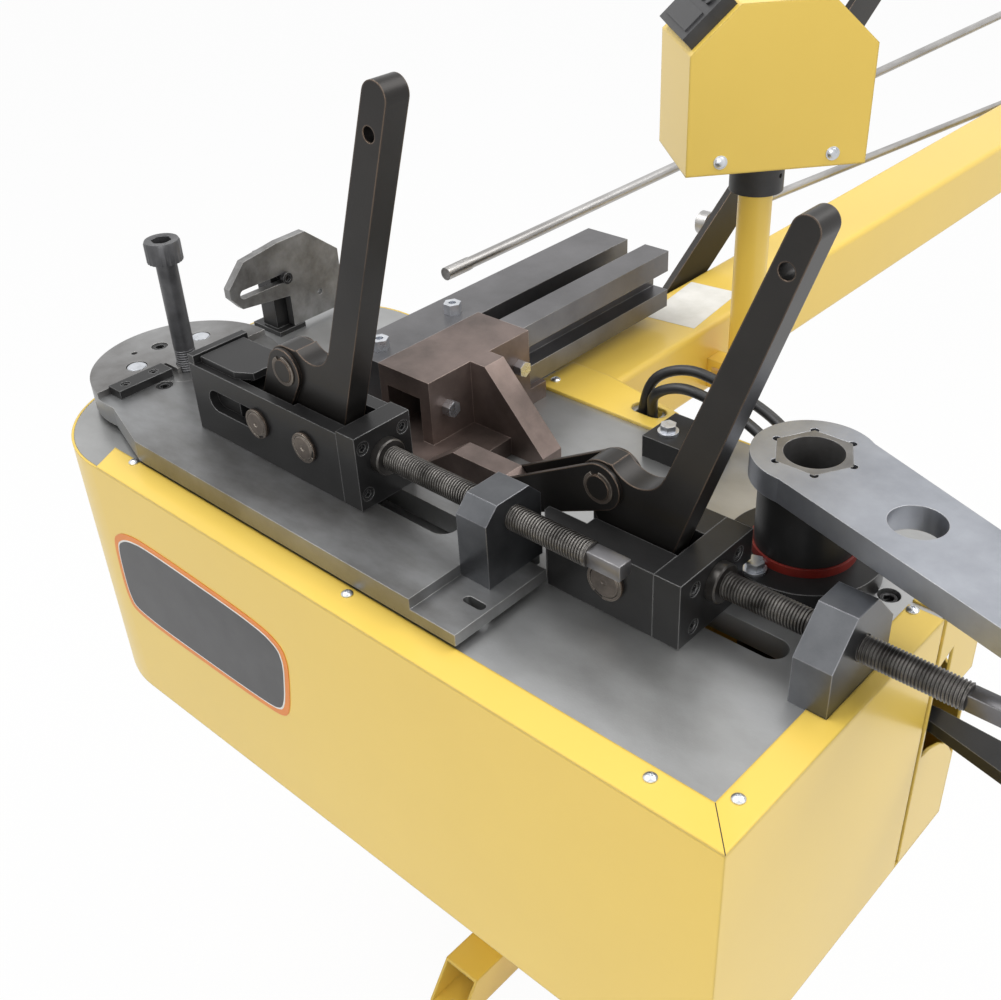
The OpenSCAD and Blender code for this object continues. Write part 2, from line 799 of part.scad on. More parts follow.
module hub_spindle() {
  color(steel) placed() translate([hub_x, hub_y, 0]) difference() {
    union() {
      bar_z(0, 0, low_z + low_t, shaft_r, arm_low - low_z - low_t);
      bar_z(0, 0, 0, hub_af / 2 - cut, arm_low + cut);
      translate([0, 0, arm_low]) linear_extrude(hub_arm_t) hex(hub_af);
      bar_z(0, 0, low_z + low_t, 45, barrel_low - gap - low_z - low_t);
    }
    bar_z(0, 0, low_z, hub_bore_r, arm_low + hub_arm_t + cut - low_z);
  }
}

// Plan of a hub arm with its tip radius and the hub end radius
module hub_arm_plan(hub_end, neck, tip, len) {
  circle(r = hub_end, $fn = bar_fn);
  translate([len - tip, 0]) circle(r = tip, $fn = bar_fn);
  polygon([[0, -neck], [len - tip, -tip], [len - tip, tip], [0, neck]]);
}

module upper_arm() {
  color(black) placed() translate([hub_x, hub_y, arm_low]) rotate(hub_dir) difference() {
    linear_extrude(hub_arm_t) hub_arm_plan(58, 56, tip_r, hub_arm_len);
    translate([0, 0, -cut]) linear_extrude(hub_arm_t + 2 * cut) rotate(-hub_dir) hex(hub_af + 2 * fit);
    for (a = [0 : 5]) rotate(60 * a - hub_dir) bar_z(hub_af / 2 / cos(30), 0, -cut, 4, hub_arm_t + 2 * cut);
    bar_z(130, 0, -cut, arm_hole_r, hub_arm_t + 2 * cut);
    bar_z(260, 0, -cut, arm_hole_r, hub_arm_t + 2 * cut);
  }
}

module lower_arm() {
  color(black) placed() translate([hub_x, hub_y, low_z]) difference() {
    union() {
      cylinder(r = 54, h = low_t, $fn = bar_fn);
      linear_extrude(low_t) polygon([[0, -40], low_elbow - [0, low_w / 2], low_tip - [0, low_tip_r - 6],
        low_tip + [0, low_tip_r - 6], low_elbow + [0, low_w / 2], [0, 40]]);
      bar_z(low_tip[0], low_tip[1], 0, low_tip_r, low_t);
    }
    bar_z(0, 0, -cut, hub_bore_r, low_t + 2 * cut);
    bar_z(low_tip[0], low_tip[1], -cut, 10, low_t + 2 * cut);
  }
}

module swing_arm() {
  color(steel) placed() difference() {
    translate([0, 0, arm_lift]) linear_extrude(arm_t) {
      circle(r = arm_head_r, $fn = 96);
      polygon([[arm_end, -arm_front], [arm_end, -20], [584, -20], [584, -3], [0, -3], [0, 0], [-43, -100],
        [102, -arm_front]]);
    }
    translate([0, 0, arm_lift - cut]) linear_extrude(arm_t + 2 * cut) slot2(slot_from, slot_to, clamp_y, slot_w);
    block([nut1_x, -arm_front - cut, nut1_z], [arm_end + cut, cut, arm_top + cut]);
    bar_z(0, 0, 0, spindle_r + fit, arm_top + cut);
    for (p = pins_at) bar_z(p[0], p[1], 12, dowel_r + fit, arm_top);
    bar_z(arm_screw_at[0], arm_screw_at[1], arm_top - 12, head_bore_r, 13);
    bar_z(arm_screw_at[0], arm_screw_at[1], 9, 5 + fit, arm_top);
    bar_z(die_screw_at[0], die_screw_at[1], die_top - 12, head_bore_r, 13);
    bar_z(die_screw_at[0], die_screw_at[1], 9, 5 + fit, arm_top);
    for (y = key_screw_at) bar_z(key_right - key_w / 2, y, arm_top - 11, 2.5 + fit, 12);
    // Ledge slot beside the nut block
    translate([0, 0, arm_lift - cut]) linear_extrude(arm_t) slot2(576, 602, -100, 10);
  }
}

module head_spindle() {
  color(steel) placed() difference() {
    union() {
      bar_z(0, 0, -149, spindle_r, 149 + arm_top);
      // Vane in the actuator
      translate([0, 0, -149]) linear_extrude(108) rotate(140) translate([30, -12]) square([chamber_r - 33, 24]);
    }
    bar_z(0, 0, -30, bolt_r + fit, 40 + arm_top);
  }
}

module die_plate() {
  color(steel) placed() translate([0, 0, arm_top]) difference() {
    linear_extrude(die_t) difference() {
      circle(r = arm_head_r, $fn = 96);
      translate([key_right, -200]) square([200, 400]);
      // Seat of the key bar
      translate([key_right - key_w - fit, -200]) square([key_w + 1, 200 + key_end]);
      circle(r = bolt_r + cut, $fn = bar_fn);
    }
    for (p = pins_at) bar_z(p[0], p[1], -cut, dowel_r + cut, die_t + 2 * cut);
    bar_z(die_screw_at[0], die_screw_at[1], -cut, head_bore_r, die_t + 2 * cut);
    bar_z(small_hole_at[0], small_hole_at[1], -cut, 4, die_t + 2 * cut);
  }
}

module key_bar() {
  color(black) placed() difference() {
    block([key_right - key_w, key_y, arm_top], [key_right, key_y + key_len, arm_top + key_h]);
    for (y = key_screw_at) {
      bar_z(key_right - key_w / 2, y, arm_top - cut, 2.5 + fit, key_h + 2 * cut);
      bar_z(key_right - key_w / 2, y, arm_top + key_h - 6, 5.5, 7);
    }
  }
}

module dowel_pins() {
  color(zinc) placed() for (p = pins_at) {
    bar_z(p[0], p[1], 12, dowel_r, die_top - 13);
    bar_z(p[0], p[1], 12, dowel_r - 1, die_top - 12.3);
  }
}

module head_screws() {
  color(black) placed() {
    translate([arm_screw_at[0], arm_screw_at[1], arm_top - 1]) cap_screw(5, head_bore_r - cut, 11, 10);
    translate([die_screw_at[0], die_screw_at[1], die_top - 1]) cap_screw(5, head_bore_r - cut, 11, 14);
    for (y = key_screw_at) translate([key_right - key_w / 2, y, arm_top + key_h - 1]) cap_screw(2.5, 5, 5, 14);
  }
}

module draw_bolt() {
  color(black) placed() {
    translate([0, 0, bolt_top]) cap_screw(bolt_r, bolt_head_r, 26, bolt_top - 10);
  }
}

module nut_block_clamp() {
  h = 37.75;
  color(black) placed() difference() {
    cross(nut1_x, nut1_t) polygon([[clamp_y - h, nut1_z], [clamp_y + h, nut1_z], [clamp_y + h, nut1_top - 16],
      [clamp_y + h - 16, nut1_top], [clamp_y - h + 16, nut1_top], [clamp_y - h, nut1_top - 16]]);
    bar_x(nut1_x - cut, clamp_y, clamp_axis_z, screw_r + gap, nut1_t + 2 * cut);
  }
}

module clamp_housing() {
  h = clamp_w / 2;
  color(black) placed() difference() {
    union() {
      block([clamp_x, clamp_y - h, arm_top + gap], [clamp_back, clamp_y + h, clamp_top]);
      block([slot_from + 70, clamp_y - slot_w / 2 + gap, arm_lift + gap],
        [clamp_back, clamp_y + slot_w / 2 - gap, arm_top + cut]);
    }
    block([clamp_x - cut, clamp_y - jaw_w / 2, clamp_floor], [clamp_step, clamp_y + jaw_w / 2, clamp_top + cut]);
    block([clamp_x, clamp_y - channel_w / 2, clamp_floor], [clamp_back + cut, clamp_y + channel_w / 2, clamp_top + cut]);
    // Windows for the slide pin
    side(clamp_y, clamp_w + 2 * cut)
      slot2(clamp_s[0] - jaw_travel - window_h / 2, clamp_s[0] + window_h / 2, clamp_s[1], window_h);
    bar_y(clamp_p[0], clamp_y - h - cut, clamp_p[1], pin_r + gap, clamp_w + 2 * cut);
    for (s = [-1, 1], z = [clamp_axis_z - 34, clamp_axis_z + 20])
      bar_x(clamp_back - 20, clamp_y + s * 27, z, 4 + fit, 30);
  }
}

module clamp_end_plate() {
  h = clamp_w / 2;
  color(black) placed() difference() {
    block([clamp_back, clamp_y - h, arm_top + gap], [clamp_far, clamp_y + h, clamp_top + end_proud]);
    bar_x(clamp_back - cut, clamp_y, clamp_axis_z, screw_r + gap, clamp_end_t + 2 * cut);
    for (s = [-1, 1], z = [clamp_axis_z - 34, clamp_axis_z + 20]) {
      bar_x(clamp_back - cut, clamp_y + s * 27, z, 4 + fit, clamp_end_t + 2 * cut);
      bar_x(clamp_far - 9, clamp_y + s * 27, z, 7.5, 10);
    }
  }
}

module clamp_end_screws() {
  color(black) placed() for (s = [-1, 1], z = [clamp_axis_z - 34, clamp_axis_z + 20])
    translate([clamp_far - 1, clamp_y + s * 27, z]) rotate([0, 90, 0]) cap_screw(4, 7, 8, clamp_end_t + 4);
}

// Lead screw with its two collars and the square drive
module lead_screw(from, plate, far, end, y, z) {
  bar_x(from, y, z, screw_r, end - from);
  bar_x(from, y, z, screw_r + 4.5, plate - gap - from);
  bar_x(far + gap, y, z, screw_r + 7, 10);
  translate([end - cut, y, z]) translate([0, -drive_s / 2, -drive_s / 2]) cube([drive_len + cut, drive_s, drive_s]);
}

module clamp_screw() {
  color(black) placed() lead_screw(clamp_back - 10, clamp_back, clamp_far, screw1_end, clamp_y, clamp_axis_z);
}

// Side view of a lever with its pivot p and its ear q; the handle starts at b and a round throat
// of radius throat about c lies between handle and ear
module lever_plan(p, q, b, c, throat, dir, len, half, tip) {
  d = [cos(dir), sin(dir)];
  n = [-d[1], d[0]];
  foot = b + ((c - b) * d) * d;
  end = b + len * d;
  difference() {
    union() {
      polygon([b + half * n, end - tip * d + tip * n, end - tip * d - tip * n, b - half * n]);
      translate(end - tip * d) circle(r = tip, $fn = bar_fn);
      bar(p, q, boss_r, ear_r);
      difference() {
        polygon([p, q, q + [0, ear_r], q + [18, ear_r], c, foot, b]);
        translate(c) circle(r = throat, $fn = bar_fn);
      }
    }
    translate(q) circle(r = link_pin_r + gap, $fn = bar_fn);
    translate(end - 48 * d) circle(r = 7, $fn = bar_fn);
  }
}

module clamp_lever() {
  h = clamp_w / 2 + gap + disc_t;
  color(brown) placed() {
    side(clamp_y, lever_t)
      lever_plan(clamp_p, clamp_q, clamp_p + [10.7, 0], clamp_p + [-3, 115], 31, 71.5, 405, 18, 14.6);
    bar_y(clamp_p[0], clamp_y - h, clamp_p[1], pin_r, 2 * h);
    for (y = [clamp_y - h, clamp_y + h - disc_t]) bar_y(clamp_p[0], y, clamp_p[1], disc_r, disc_t);
  }
}

// Pair of links with the pins through both ends
module link_pair(y, q, s, end_r, reach) {
  mid = lever_t / 2 + gap + link_t / 2;
  pin = channel_w / 2 - gap;
  for (k = [-1, 1]) side(y + k * mid, link_t) bar(q, s, link_r, end_r);
  bar_y(q[0], y - pin, q[1], link_pin_r, 2 * pin);
  bar_y(s[0], y - reach, s[1], slide_pin_r, 2 * reach);
}

module clamp_link() {
  h = clamp_w / 2 + gap + disc_t;
  color(brown) placed() {
    link_pair(clamp_y, clamp_q, clamp_s, 20, h);
    for (y = [clamp_y - h, clamp_y + h - disc_t]) bar_y(clamp_s[0], y, clamp_s[1], disc_r, disc_t);
  }
}

module clamp_jaw() {
  h = jaw_w / 2 - gap;
  low = clamp_top + gap;
  lug = lever_t / 2 - gap;
  color(black) placed() difference() {
    union() {
      // Slide in the channel
      block([clamp_x + 2, clamp_y - h, clamp_floor + gap], [205, clamp_y + h, clamp_top + 2]);
      // Lug between the links
      block([200, clamp_y - lug, clamp_s[1] - 20], [clamp_s[0] + 17, clamp_y + lug, clamp_s[1] + 20]);
      // Head bar and top plate over the walls
      block([clamp_x + 1, clamp_y - clamp_w / 2, low], [clamp_x + 11, clamp_y + clamp_w / 2, clamp_top + 11]);
      translate([0, clamp_y, low]) linear_extrude(8.5)
        polygon([[150, -29.5], [210, -29.5], [230, -18.5], [230, 29.5], [150, 29.5]]);
    }
    side(clamp_y, clamp_w) slot2(clamp_s[0] - 26, clamp_s[0] + 10, clamp_s[1], 20);
  }
}

// Rebate that clears the hub flange and its bolts
module press_rebate() {
  block([press_x - cut, hub_y - hub_flange_r - 0.5, -cut], [press_far + cut, 200, 37]);
}

module press_housing() {
  h = press_w / 2;
  color(black) placed() difference() {
    union() {
      block([press_x, press_y - h, gap], [press_back, press_y + h, press_h]);
      block([632, press_y - tongue_w / 2 + gap, 4 - bed_t], [press_back, press_y + tongue_w / 2 - gap, gap + cut]);
    }
    block([press_x - cut, press_y - press_wide / 2, press_floor], [press_step, press_y + press_wide / 2, press_h + cut]);
    block([press_x, press_y - channel_w / 2, press_floor], [press_back + cut, press_y + channel_w / 2, press_h + cut]);
    bar_y(press_p[0], press_y - h - cut, press_p[1], pin_r + gap, press_w + 2 * cut);
    for (s = [-1, 1], z = [14, 56]) bar_x(press_back - 20, press_y + s * 34, z, 4 + fit, 30);
    // Corner cut beside the swing arm
    linear_extrude(press_h + cut) polygon([[press_x - cut, press_y - h - cut], [press_x + corner_cut, press_y - h - cut],
      [press_x - cut, press_y - h + corner_cut]]);
    press_rebate();
  }
}

module press_end_plate() {
  h = press_w / 2;
  color(black) placed() difference() {
    block([press_back, press_y - h, gap], [press_far, press_y + h, press_h]);
    bar_x(press_back - cut, press_y, press_sz, screw_r + gap, press_end_t + 2 * cut);
    for (s = [-1, 1], z = [14, 56]) {
      bar_x(press_back - cut, press_y + s * 34, z, 4 + fit, press_end_t + 2 * cut);
      bar_x(press_far - 9, press_y + s * 34, z, 7.5, 10);
    }
    press_rebate();
  }
}

module press_screw() {
  color(black) placed() lead_screw(press_back - 9, press_back, press_far, screw2_end, press_y, press_sz);
}

module press_lever() {
  front = press_y - press_w / 2 - gap - disc_t;
  color(brown) placed() {
    side(press_y, lever_t)
      lever_plan(press_p, press_q, press_p + [12.2, 0], press_p + [-2, 112], 33.5, 69.75, 390, 20, 12.5);
    bar_y(press_p[0], front, press_p[1], pin_r, hub_y - hub_flange_r - cut - front);
    bar_y(press_p[0], front, press_p[1], press_disc_r, disc_t);
  }
}

module press_link() {
  color(brown) placed() link_pair(press_y, press_q, press_s, 18, channel_w / 2 - gap);
}

module push_bracket() {
  lug = lever_t / 2 - gap;
  color(brown) placed() difference() {
    union() {
      // Base plate under the block
      block([block_x, 15, gap], [rail_x + rail_w + 8, 262, base_t]);
      block([block_x, 15, gap], [420, 168, base_t]);
      // Top and front of the box
      block([block_x + bar_w, block_y, base_t - cut], [rail_x + rail_w + 8, top_end, block_top]);
      // Gusset
      side(152, 31) polygon([[rail_x + 20, base_t - cut], [rail_x + 20, block_top], [385, block_top], [467, 12], [467, gap], [400, gap]]);
      // Lug for the link
      side(press_y, 2 * lug) polygon([[380, gap], [526, gap], [526, 50], [512, 64], [440, 64], [380, base_t]]);
    }
    // Hollow of the box
    block([block_x + bar_w + 12, block_y - cut, base_t], [rail_x + rail_w - 8, top_end - 20, block_top - 24]);
    side(press_y, 40) slot2(press_s[0] - 24, press_s[0] + 12, press_s[1], 23);
    for (y = [97, 215]) bar_x(block_x - cut, y, 60, 5 + fit, 200);
  }
}

// Hex nut along Z on z
module nut_z(x, y, z) {
  difference() {
    union() {
      translate([x, y, z]) linear_extrude(13) hex(19);
      bar_z(x, y, z - 20, 5.9, 30);
    }
    bar_z(x, y, z + 6, 4.5, 12);
  }
}

module bracket_nuts() {
  color(zinc) placed() {
    for (y = [97, 215]) {
      nut_z(block_x + 38, y, block_top);
      translate([rail_x + rail_w + 8, y, 60]) rotate([0, 90, 0]) linear_extrude(11) hex(17);
      bar_x(rail_x + rail_w - 2, y, 60, 5, 18);
    }
  }
}

module tslot_block() {
  color(black) placed() difference() {
    union() {
      block([block_x, block_y, base_t], [block_x + bar_w, block_end, block_top]);
      block([block_x, top_end, base_t], [rail_x + rail_w, block_end, block_top]);
    }
    // Top channel with its wider foot
    block([block_x + bar_w + 5, top_end - cut, base_t + 22], [rail_x - 5, block_end + cut, block_top + cut]);
    block([block_x + bar_w - 8, top_end + 2, base_t + 22], [rail_x + 6, block_end + cut, base_t + 40]);
    // Groove in the right face
    block([rail_x + 10, top_end - cut, side_groove_z[0]], [rail_x + rail_w + cut, block_end + cut, side_groove_z[1] + 8]);
    for (y = [97, 215]) bar_z(block_x + 38, y, block_top - 21, 6, 30);
    // Groove for the die slide
    block([block_x - cut, block_y - cut, 40], [block_x + 5, block_end + cut, 64]);
  }
}

module die_slide() {
  color(black) placed() union() {
    block([block_x - 8, block_y + 10, 30], [block_x - gap, block_end - 6, 92]);
    block([block_x - 2, block_y + 10, 40 + gap], [block_x + 4, block_end - 6, 64 - gap]);
  }
}

module wiper_plate() {
  color(steel) placed() cross(wiper_x, wiper_t) difference() {
    polygon([[97, 80], [97, 93], [125, 122], [183, 130], [228, 131], [279, 90], [280, 8], [190, 8], [190, 52], [113, 61]]);
    slot2(112, 194, wiper_bolt[1], 12);
    translate([240, 40]) circle(r = 4, $fn = bar_fn);
  }
}

module wiper_screw() {
  front = wiper_x + wiper_t + gap;
  color(black) placed() {
    translate([front + 6, wiper_bolt[0], wiper_bolt[1]]) rotate([0, 90, 0]) cap_screw(wiper_bolt_r, 8, 6, 50);
    translate([wiper_x - 38, wiper_bolt[0], wiper_bolt[1]]) rotate([0, 90, 0]) linear_extrude(8) hex(16);
  }
}

module carriage() {
  y0 = carriage_y;
  y1 = carriage_y + carriage_len;
  color(black) placed() difference() {
    union() {
      block([rod_x - 30, y0, gap], [beam_x + beam_w + 16, y1, 20]);
      block([beam_x - 24, y0, -beam_h - 10], [beam_x - gap, y1, 10]);
      block([beam_x + beam_w + gap, y0, -beam_h + 20], [beam_x + beam_w + 16, y1, 10]);
      block([rod_x - 24, y0 + 20, 10], [rod_x + 24, y1 - 20, rod_z + 24]);
      bar_x(link_x - 6, link_end[0], link_end[1], 7.5, beam_x - 14 - link_x);
    }
    bar_y(rod_x, y0, rod_z, rod_r + fit, carriage_len);
  }
}

module mandrel_rod() {
  color(steel) placed() {
    bar_y(rod_x, rod_tip, rod_z, rod_r + 0.8, 45);
    bar_y(rod_x, rod_tip + 44, rod_z, rod_r, carriage_y + carriage_len + 20 - rod_tip - 44);
    bar_y(rod_x, carriage_y + carriage_len - 20, rod_z, rod_r + 6, 12);
    bar_y(rod_x, carriage_y + 8, rod_z, rod_r + 6, 12);
  }
}

module hand_lever() {
  d = [cos(hand_tilt), sin(hand_tilt)];
  x = beam_x - gap - hand_t;
  color(brown) placed() {
    cross(x, hand_t) bar(hand_p, hand_p + (hand_len - hand_w / 2) * d, hand_w / 2, hand_w / 2);
    bar_x(x - 6, hand_p[0], hand_p[1], 12, hand_t + 6 + gap + beam_wall + 8);
    bar_x(link_x - 6, hand_pin[0], hand_pin[1], 8, x - link_x + 8);
    bar_x(x - 10, hand_pin[0], hand_pin[1], 13, 11);
  }
}

module link_rod() {
  d = unit(link_end - hand_pin);
  color(steel) placed() {
    difference() {
      union() {
        cross(link_x, link_w) {
          translate(hand_pin) circle(r = 17, $fn = bar_fn);
          translate(link_end) circle(r = 20, $fn = bar_fn);
        }
        translate([link_x + link_w / 2, hand_pin[0] + 12 * d[0], hand_pin[1] + 12 * d[1]])
          rotate([atan2(d[1], d[0]) - 90, 0, 0])
          cylinder(r = 7, h = norm(link_end - hand_pin) - 26, $fn = bar_fn);
      }
      bar_x(link_x - cut, hand_pin[0], hand_pin[1], 8 + gap, link_w + 2 * cut);
      bar_x(link_x - cut, link_end[0], link_end[1], 12, link_w + 2 * cut);
    }
  }
}

cabinet_shell();
rear_panel();
bed_plate();
bed_lips();
pan_screws();
pedestal();
floor_feet();
beam();
beam_foot_plate();
rear_leg();
post();
post_collar();
stop_block();
hex_bolts();
hub_flange();
seal_ring();
nut_block_press();
wiper_foot();
thrust_ring();
actuator();
actuator_cover();
oil_tank();
pump_motor();
cable_a();
cable_b();
control_box();
keypad();
hub_spindle();
upper_arm();
lower_arm();
swing_arm();
head_spindle();
die_plate();
key_bar();
dowel_pins();
head_screws();
draw_bolt();
nut_block_clamp();
clamp_housing();
clamp_end_plate();
clamp_end_screws();
clamp_screw();
clamp_lever();
clamp_link();
clamp_jaw();
press_housing();
press_end_plate();
press_screw();
press_lever();
press_link();
push_bracket();
bracket_nuts();
tslot_block();
die_slide();
wiper_plate();
wiper_screw();
carriage();
mandrel_rod();
hand_lever();
link_rod();
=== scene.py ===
import bpy, bmesh
from math import sin, cos, pi, radians, tau
from mathutils import Vector, Matrix


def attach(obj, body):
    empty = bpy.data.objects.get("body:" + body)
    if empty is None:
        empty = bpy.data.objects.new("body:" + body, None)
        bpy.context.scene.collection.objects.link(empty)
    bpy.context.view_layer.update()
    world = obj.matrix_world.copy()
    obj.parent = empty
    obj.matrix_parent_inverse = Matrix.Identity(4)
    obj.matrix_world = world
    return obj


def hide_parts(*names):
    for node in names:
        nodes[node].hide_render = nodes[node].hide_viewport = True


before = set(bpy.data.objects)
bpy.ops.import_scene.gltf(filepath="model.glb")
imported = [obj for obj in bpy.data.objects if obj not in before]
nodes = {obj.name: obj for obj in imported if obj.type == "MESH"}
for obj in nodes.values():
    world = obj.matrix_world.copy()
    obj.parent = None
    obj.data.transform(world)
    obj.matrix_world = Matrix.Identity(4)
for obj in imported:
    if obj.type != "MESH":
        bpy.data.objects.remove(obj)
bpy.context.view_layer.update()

# The middle of the model seen from the bend axis, and the height of the bed top, in metres
MID_X, MID_Y, BED = 0.486881, 1.2845, 0.930
# Millimetres in a metre
MM = 1000
X, Y, Z = Vector((1, 0, 0)), Vector((0, 1, 0)), Vector((0, 0, 1))


def at(x, y, z):
    """A point given in mm from the bend axis on the bed top."""
    return Vector((x / MM - MID_X, y / MM - MID_Y, z / MM + BED))


def placed(name, data):
    """A new object of the scene."""
    o = bpy.data.objects.new(name, data)
    bpy.context.collection.objects.link(o)
    return o


# Camera, found from the photo's vanishing points
AZ, EL, ROLL = radians(44.45), radians(34.02), radians(3.23)
EYE = at(1224.7, -706.2, 725.6)
LENS, SENSOR, FAR_CLIP = 43.68, 36, 50

forward = Vector((-sin(AZ) * cos(EL), cos(AZ) * cos(EL), -sin(EL)))
level = Vector((cos(AZ), sin(AZ), 0))
steep = forward.cross(level)
right = cos(ROLL) * level + sin(ROLL) * steep
down = cos(ROLL) * steep - sin(ROLL) * level
cam_data = bpy.data.cameras.new("camera")
cam_data.sensor_fit = "HORIZONTAL"
cam_data.sensor_width = SENSOR
cam_data.lens = LENS
cam_data.clip_end = FAR_CLIP
cam = placed("camera", cam_data)
cam.matrix_world = Matrix.Translation(EYE) @ Matrix((right, -down, -forward)).transposed().to_4x4()
bpy.context.scene.camera = cam

# Noise of the clouds and of the fine grain
CLOUD_DETAIL, CLOUD_ROUGHNESS, GRAIN_DETAIL = 6, 0.62, 3
# Height of the grain at which a speck starts and is full, and how much paler than the surface it is
SPECK_START, SPECK_FULL, SPECK_GAIN, SPECK_LIFT = 0.62, 0.8, 2.2, 0.03
# Agreement of the rounded and the true normal at which wear starts and is full, and its width in bevels
WEAR_START, WEAR_FULL, WEAR_WIDTH = 0.995, 0.88, 1.6
BEVEL_SAMPLES = 4
BUMP_DEPTH = 0.0006
COAT_ROUGHNESS = 0.12


def add(tree, kind, values):
    """A new shader node with values on its sockets."""
    node = tree.nodes.new("ShaderNode" + kind)
    for socket, value in values.items():
        node.inputs[socket].default_value = value
    return node


def noise(tree, place, values):
    """The socket of a noise on a mapping node."""
    node = add(tree, "TexNoise", values)
    tree.links.new(place.outputs[0], node.inputs["Vector"])
    return node.outputs["Fac"]


def ranged(tree, source, values):
    """The socket of a value taken to another range."""
    node = add(tree, "MapRange", values)
    tree.links.new(source, node.inputs["Value"])
    return node.outputs[0]


def paired(tree, kind, operation, a, b):
    """The socket of two values put together by a Math or VectorMath node."""
    node = add(tree, kind, {})
    node.operation = operation
    tree.links.new(a, node.inputs[0])
    tree.links.new(b, node.inputs[1])
    return node.outputs["Value"]


def blend(tree, base, colour, amount):
    """The socket of a colour laid over base, which is a colour or a socket."""
    mix = add(tree, "Mix", {})
    mix.data_type = "RGBA"
    if isinstance(base, tuple):
        mix.inputs["A"].default_value = (*base, 1)
    else:
        tree.links.new(base, mix.inputs["A"])
    mix.inputs["B"].default_value = (*colour, 1)
    tree.links.new(amount, mix.inputs["Factor"])
    return mix.outputs["Result"]


def bevelled(tree, radius):
    """The socket of a normal that is rounded at the edges."""
    node = add(tree, "Bevel", {"Radius": radius})
    node.samples = BEVEL_SAMPLES
    return node.outputs[0]


def edge_wear(tree, radius, most, cloud):
    """The socket of the wear along the edges, which follows the clouds."""
    true_normal = add(tree, "NewGeometry", {}).outputs["Normal"]
    agreement = paired(tree, "VectorMath", "DOT_PRODUCT", bevelled(tree, radius), true_normal)
    wear = ranged(tree, agreement, {"From Min": WEAR_START, "From Max": WEAR_FULL, "To Max": most})
    return paired(tree, "Math", "MULTIPLY", wear, cloud)


def material(name, dark, light, scale, rough, bump, grain, bevel, metal=0.0, spec=0.5, coat=0.0,
             contrast=0.35, stretch=(1, 1, 1), speck=0.0, edge=None, edge_mix=0.9):
    """Two colours in clouds with fine grain, and specks, worn edges and a coat where they are given."""
    surface = bpy.data.materials.new(name)
    surface.use_nodes = True
    tree = surface.node_tree
    link = tree.links.new
    bsdf = tree.nodes["Principled BSDF"]
    bsdf.inputs["Metallic"].default_value = metal
    bsdf.inputs["Specular IOR Level"].default_value = spec
    if coat:
        bsdf.inputs["Coat Weight"].default_value = coat
        bsdf.inputs["Coat Roughness"].default_value = COAT_ROUGHNESS
    place = add(tree, "Mapping", {"Scale": stretch})
    link(add(tree, "TexCoord", {}).outputs["Object"], place.inputs["Vector"])
    cloud = noise(tree, place, {"Scale": scale, "Detail": CLOUD_DETAIL, "Roughness": CLOUD_ROUGHNESS})
    fine = noise(tree, place, {"Scale": grain, "Detail": GRAIN_DETAIL})
    spread = ranged(tree, cloud, {"From Min": 0.5 - contrast / 2, "From Max": 0.5 + contrast / 2})
    colour = blend(tree, dark, light, spread)
    if speck:
        dots = ranged(tree, fine, {"From Min": SPECK_START, "From Max": SPECK_FULL, "To Max": speck})
        paler = [min(1, c * SPECK_GAIN + SPECK_LIFT) for c in light]
        colour = blend(tree, colour, paler, dots)
    if edge:
        colour = blend(tree, colour, edge, edge_wear(tree, bevel * WEAR_WIDTH, edge_mix, spread))
    link(colour, bsdf.inputs["Base Color"])
    link(ranged(tree, cloud, {"To Min": rough[0], "To Max": rough[1]}), bsdf.inputs["Roughness"])
    relief = add(tree, "Bump", {"Strength": bump, "Distance": BUMP_DEPTH})
    link(fine, relief.inputs["Height"])
    link(bevelled(tree, bevel), relief.inputs["Normal"])
    link(relief.outputs[0], bsdf.inputs["Normal"])
    return surface


